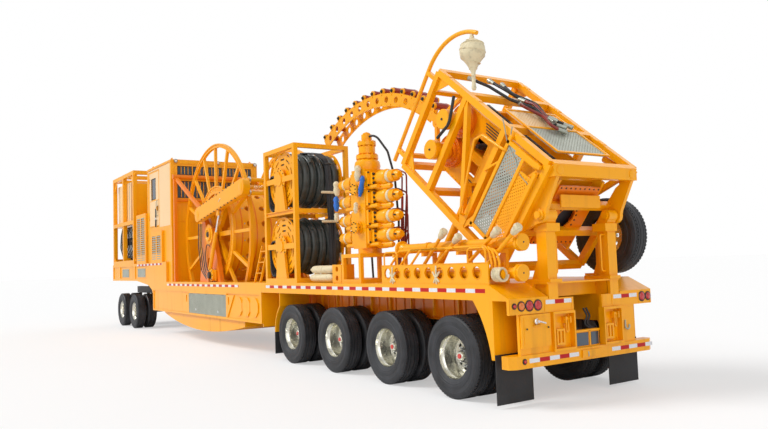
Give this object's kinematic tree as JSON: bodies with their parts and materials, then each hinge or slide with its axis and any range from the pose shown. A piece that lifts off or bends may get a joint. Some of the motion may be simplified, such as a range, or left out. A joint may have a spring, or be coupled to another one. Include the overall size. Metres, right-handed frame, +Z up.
{
  "type": "coiled tubing unit",
  "caption": "Semi-trailer on dual wheels and a front dolly carrying a tubing reel, control cabin, power pack, hose reels, blowout preventer stack and tilting injector.",
  "frame": {"origin": "middle of the bounding box at ground level", "axes": "+X towards the rear, +Y to the right-hand side, +Z up"},
  "size_m": [19.581, 2.59, 4.9],
  "materials": {
    "paint": "gloss",
    "black_paint": "satin",
    "pale_paint": "satin",
    "tyre": "matt",
    "rubber": "matt",
    "glass": "clear",
    "steel": "satin",
    "tread_plate": "satin",
    "lens": "gloss",
    "machinery": "satin"
  },
  "bodies": {
    "trailer": {"access_steps": "paint", "belly_pan": "paint", "bop_stack": "machinery", "bop_stand": "paint", "cabin_base": "paint", "cabin_glass": "glass", "cabin_shell": "paint", "chassis": "paint", "coolant_tank": "pale_paint", "deck": "paint", "engine_block": "machinery", "fenders": "paint", "hose_reel_frame": "paint", "lamps": "lens", "mud_flaps": "rubber", "oil_tank": "paint", "power_pack_frame": "paint", "rack_pipes": "paint", "rear_posts": "paint", "rear_wall": "paint", "reel_stand": "paint", "running_gear": "black_paint", "side_lockers": "tread_plate", "side_rack": "paint", "spare_carrier": "paint", "spare_wheel": "tyre"},
    "dolly": {"dolly_frame": "black_paint"},
    "reel": {"tubing_reel": "paint", "reel_flanges": "paint"},
    "levelwind": {"levelwind_frame": "paint"},
    "levelwind_carriage": {"levelwind_carriage": "paint"},
    "levelwind_barrel": {"levelwind_barrel": "paint"},
    "levelwind_rod": {"levelwind_rod": "steel"},
    "upper_hose_reel": {"upper_hose_spool": "paint", "upper_hose": "rubber"},
    "lower_hose_reel": {"lower_hose_spool": "paint", "lower_hose": "rubber"},
    "injector": {"injector_frame": "paint", "injector_head": "paint", "drive_motors": "machinery", "platforms": "tread_plate", "lamp_pole": "paint"},
    "guide_arch": {"guide_arch": "paint"},
    "mast_barrel": {"mast_barrel": "paint"},
    "mast_rod": {"mast_rod": "steel"},
    "cabin_door": {"cabin_door": "paint"},
    "toolbox_door": {"toolbox_door": "paint"},
    "wheel_1_left": {"wheel_1_left": "tyre"},
    "wheel_1_right": {"wheel_1_right": "tyre"},
    "wheel_2_left": {"wheel_2_left": "tyre"},
    "wheel_2_right": {"wheel_2_right": "tyre"},
    "wheel_3_left": {"wheel_3_left": "tyre"},
    "wheel_3_right": {"wheel_3_right": "tyre"},
    "wheel_4_left": {"wheel_4_left": "tyre"},
    "wheel_4_right": {"wheel_4_right": "tyre"},
    "dolly_wheel_1_left": {"dolly_wheel_1_left": "tyre"},
    "dolly_wheel_1_right": {"dolly_wheel_1_right": "tyre"},
    "dolly_wheel_2_left": {"dolly_wheel_2_left": "tyre"},
    "dolly_wheel_2_right": {"dolly_wheel_2_right": "tyre"}
  },
  "joints": [
    {"name": "wheel_1_left_spin", "type": "hinge", "parent": "trailer", "child": "wheel_1_left", "pos_m": [3.84, -0.995, 0.524], "axis": [0, 1, 0], "continuous": true},
    {"name": "wheel_1_right_spin", "type": "hinge", "parent": "trailer", "child": "wheel_1_right", "pos_m": [3.84, 0.995, 0.524], "axis": [0, 1, 0], "continuous": true},
    {"name": "wheel_2_left_spin", "type": "hinge", "parent": "trailer", "child": "wheel_2_left", "pos_m": [5.36, -0.995, 0.524], "axis": [0, 1, 0], "continuous": true},
    {"name": "wheel_2_right_spin", "type": "hinge", "parent": "trailer", "child": "wheel_2_right", "pos_m": [5.36, 0.995, 0.524], "axis": [0, 1, 0], "continuous": true},
    {"name": "wheel_3_left_spin", "type": "hinge", "parent": "trailer", "child": "wheel_3_left", "pos_m": [6.88, -0.995, 0.524], "axis": [0, 1, 0], "continuous": true},
    {"name": "wheel_3_right_spin", "type": "hinge", "parent": "trailer", "child": "wheel_3_right", "pos_m": [6.88, 0.995, 0.524], "axis": [0, 1, 0], "continuous": true},
    {"name": "wheel_4_left_spin", "type": "hinge", "parent": "trailer", "child": "wheel_4_left", "pos_m": [8.4, -0.995, 0.524], "axis": [0, 1, 0], "continuous": true},
    {"name": "wheel_4_right_spin", "type": "hinge", "parent": "trailer", "child": "wheel_4_right", "pos_m": [8.4, 0.995, 0.524], "axis": [0, 1, 0], "continuous": true},
    {"name": "dolly_wheel_1_left_spin", "type": "hinge", "parent": "dolly", "child": "dolly_wheel_1_left", "pos_m": [-8.66, -0.995, 0.524], "axis": [0, 1, 0], "continuous": true},
    {"name": "dolly_wheel_1_right_spin", "type": "hinge", "parent": "dolly", "child": "dolly_wheel_1_right", "pos_m": [-8.66, 0.995, 0.524], "axis": [0, 1, 0], "continuous": true},
    {"name": "dolly_wheel_2_left_spin", "type": "hinge", "parent": "dolly", "child": "dolly_wheel_2_left", "pos_m": [-7.14, -0.995, 0.524], "axis": [0, 1, 0], "continuous": true},
    {"name": "dolly_wheel_2_right_spin", "type": "hinge", "parent": "dolly", "child": "dolly_wheel_2_right", "pos_m": [-7.14, 0.995, 0.524], "axis": [0, 1, 0], "continuous": true},
    {"name": "dolly_turn", "type": "hinge", "parent": "trailer", "child": "dolly", "pos_m": [-7.9, 0, 1.46], "axis": [0, 0, 1], "range_deg": [-40, 40]},
    {"name": "reel_spin", "type": "hinge", "parent": "trailer", "child": "reel", "pos_m": [-0.78, 0, 2.56], "axis": [0, 1, 0], "continuous": true},
    {"name": "levelwind_lift", "type": "hinge", "parent": "trailer", "child": "levelwind", "pos_m": [-1.15, 0, 3.05], "axis": [0, -1, 0], "range_deg": [-8, 25]},
    {"name": "levelwind_traverse", "type": "slide", "parent": "levelwind", "child": "levelwind_carriage", "axis": [0, 1, 0], "range_m": [-0.85, 0.85]},
    {"name": "upper_hose_reel_spin", "type": "hinge", "parent": "trailer", "child": "upper_hose_reel", "pos_m": [3.48, -0.72, 3.35], "axis": [0, 1, 0], "continuous": true},
    {"name": "lower_hose_reel_spin", "type": "hinge", "parent": "trailer", "child": "lower_hose_reel", "pos_m": [3.48, -0.72, 2.11], "axis": [0, 1, 0], "continuous": true},
    {"name": "injector_tilt", "type": "hinge", "parent": "trailer", "child": "injector", "pos_m": [9.47, 0, 2.25], "axis": [0, 1, 0], "range_deg": [0, 50]},
    {"name": "guide_arch_fold", "type": "hinge", "parent": "injector", "child": "guide_arch", "pos_m": [6.91813, 0, 3.88688], "axis": [0, 1, 0], "range_deg": [0, 20]},
    {"name": "cabin_door_swing", "type": "hinge", "parent": "trailer", "child": "cabin_door", "pos_m": [-5.4, -1.243, 3.3], "axis": [0, 0, -1], "range_deg": [0, 90]},
    {"name": "toolbox_door_swing", "type": "hinge", "parent": "trailer", "child": "toolbox_door", "pos_m": [9.497, -1.122, 0.915], "axis": [0, 0, -1], "range_deg": [0, 110]},
    {"name": "levelwind_barrel_turn", "type": "hinge", "parent": "trailer", "child": "levelwind_barrel", "pos_m": [-0.56, 0, 1.64], "axis": [0, -1, 0], "range_deg": [-4.09, 10.66]},
    {"name": "levelwind_rod_slide", "type": "slide", "parent": "levelwind_barrel", "child": "levelwind_rod", "axis": [0.4575, 0, 0.8892], "range_m": [-0.1647, 0.4935]},
    {"name": "mast_barrel_turn", "type": "hinge", "parent": "trailer", "child": "mast_barrel", "pos_m": [7.3, 0, 1.56], "axis": [0, 1, 0], "range_deg": [-1, 2.91]},
    {"name": "mast_rod_slide", "type": "slide", "parent": "mast_barrel", "child": "mast_rod", "axis": [0.6153, 0, 0.7883], "range_m": [-0.01, 1.1711]}
  ],
  "couplings": [
    {"joint": "levelwind_barrel_turn", "follows": "levelwind_lift", "ratio": 0.3864},
    {"joint": "levelwind_rod_slide", "follows": "levelwind_lift", "m_per_rad": 1.1081},
    {"joint": "mast_barrel_turn", "follows": "injector_tilt", "ratio": 0.038132},
    {"joint": "mast_rod_slide", "follows": "injector_tilt", "m_per_rad": 1.3306}
  ]
}
